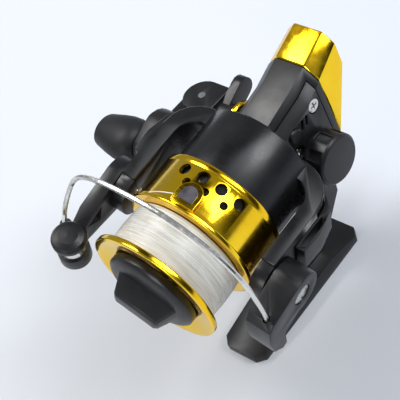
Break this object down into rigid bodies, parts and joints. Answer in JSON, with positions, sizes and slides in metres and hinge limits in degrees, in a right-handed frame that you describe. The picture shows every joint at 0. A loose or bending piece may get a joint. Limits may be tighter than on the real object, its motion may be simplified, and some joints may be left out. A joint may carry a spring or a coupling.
{
  "type": "spinning reel",
  "caption": "Small fixed-spool spinning reel with a turning rotor and wire bail, a skirted gold spool, a front drag knob, a folding crank handle, a geared body and a rod foot.",
  "frame": {"origin": "centre of the foot's seat face, on the rod side", "axes": "+Z out of the rod towards the spool axis, -Y out of the spool's front, +X towards the handle's screw cap, -X towards the handle"},
  "size_m": [0.0924, 0.0904, 0.0841],
  "materials": {
    "black_plastic": "satin moulded black plastic",
    "gold_plate": "bright gold anodising",
    "bright_steel": "polished",
    "brass": "machined",
    "zinc": "die cast, bare",
    "clear_line": "translucent nylon line",
    "grey_clip": "smoked plastic",
    "felt": "oiled felt"
  },
  "bodies": {
    "body": {"body_housing": "black_plastic", "side_cover": "black_plastic", "rear_cap": "gold_plate", "cover_screw_1": "bright_steel", "cover_screw_2": "bright_steel", "cover_screw_3": "bright_steel", "handle_side_bush": "brass", "cap_side_bush": "brass", "pinion_bearing": "bright_steel"},
    "handle": {"handle_hub": "black_plastic", "handle_gold_collar": "gold_plate", "fold_pin": "bright_steel", "drive_gear": "zinc", "anti_reverse_ratchet": "zinc", "handle_screw_cap": "black_plastic"},
    "crank": {"crank_arm": "black_plastic", "knob_spindle": "bright_steel"},
    "grip": {"handle_knob": "black_plastic"},
    "rotor": {"rotor": "black_plastic", "rotor_nut": "brass", "pinion_gear": "brass", "bail_arm_cover": "black_plastic", "roller_arm_cover": "black_plastic", "bail_screw_right": "bright_steel", "bail_screw_left": "bright_steel", "bail_spring": "bright_steel"},
    "trip": {"trip_lever": "zinc"},
    "bail": {"bail_holder": "black_plastic", "bail_wire": "bright_steel", "roller_arm": "black_plastic", "roller_cap": "black_plastic"},
    "roller": {"line_roller": "bright_steel"},
    "oscillation": {"oscillation_gear": "brass"},
    "shaft": {"main_shaft": "bright_steel", "crosswind_slider": "brass", "click_gear": "black_plastic", "spool_seat_washer": "felt", "drag_key_washer": "bright_steel", "drag_metal_washer": "bright_steel", "drag_spring": "bright_steel"},
    "spool": {"spool": "gold_plate", "line_core": "clear_line", "line_winding": "clear_line", "line_clip": "grey_clip", "drag_felt_washer": "felt", "drag_retaining_ring": "bright_steel"},
    "drag": {"drag_knob": "black_plastic", "drag_nut": "brass"},
    "switch": {"anti_reverse_switch": "black_plastic"}
  },
  "joints": [
    {"name": "handle_turn", "type": "hinge", "parent": "body", "child": "handle", "pos_m": [0, 0.0225, 0.046], "axis": [1, 0, 0], "continuous": true},
    {"name": "handle_fold", "type": "hinge", "parent": "handle", "child": "crank", "pos_m": [-0.033, 0.0225, 0.046], "axis": [0, 0.0872, 0.9962], "range_deg": [-90, 0]},
    {"name": "knob_spin", "type": "hinge", "parent": "crank", "child": "grip", "pos_m": [-0.0389, 0.00208, 0.04779], "axis": [1, 0, 0], "continuous": true},
    {"name": "rotor_spin", "type": "hinge", "parent": "body", "child": "rotor", "pos_m": [0, 0, 0.053], "axis": [0, 1, 0], "continuous": true},
    {"name": "bail_flip", "type": "hinge", "parent": "rotor", "child": "bail", "pos_m": [0, -0.0173, 0.053], "axis": [0.9542, 0, -0.299], "range_deg": [0, 95]},
    {"name": "roller_spin", "type": "hinge", "parent": "bail", "child": "roller", "pos_m": [-0.02443, -0.0409, 0.06066], "axis": [0.299, 0, 0.9542], "continuous": true},
    {"name": "trip_lever_slide", "type": "slide", "parent": "rotor", "child": "trip", "axis": [0, 1, 0], "range_m": [0, 0.002]},
    {"name": "oscillation_turn", "type": "hinge", "parent": "body", "child": "oscillation", "pos_m": [0.0039, 0.0275, 0.05306], "axis": [1, 0, 0], "continuous": true},
    {"name": "shaft_slide", "type": "slide", "parent": "body", "child": "shaft", "axis": [0, 1, 0], "range_m": [-0.0005, 0.0055]},
    {"name": "spool_slip", "type": "hinge", "parent": "shaft", "child": "spool", "pos_m": [0, 0, 0.053], "axis": [0, 1, 0], "continuous": true},
    {"name": "drag_knob_turn", "type": "hinge", "parent": "shaft", "child": "drag", "pos_m": [0, 0, 0.053], "axis": [0, 1, 0], "range_deg": [-540, 540]},
    {"name": "anti_reverse_turn", "type": "hinge", "parent": "body", "child": "switch", "pos_m": [0.0097, 0.0176, 0.0586], "axis": [1, 0, 0], "range_deg": [-12, 0]}
  ],
  "couplings": [
    {"joint": "handle_turn", "follows": "rotor_spin", "ratio": 0.2},
    {"joint": "oscillation_turn", "follows": "rotor_spin", "ratio": -0.1},
    {"joint": "trip_lever_slide", "follows": "bail_flip", "m_per_rad": 0.0012}
  ]
}
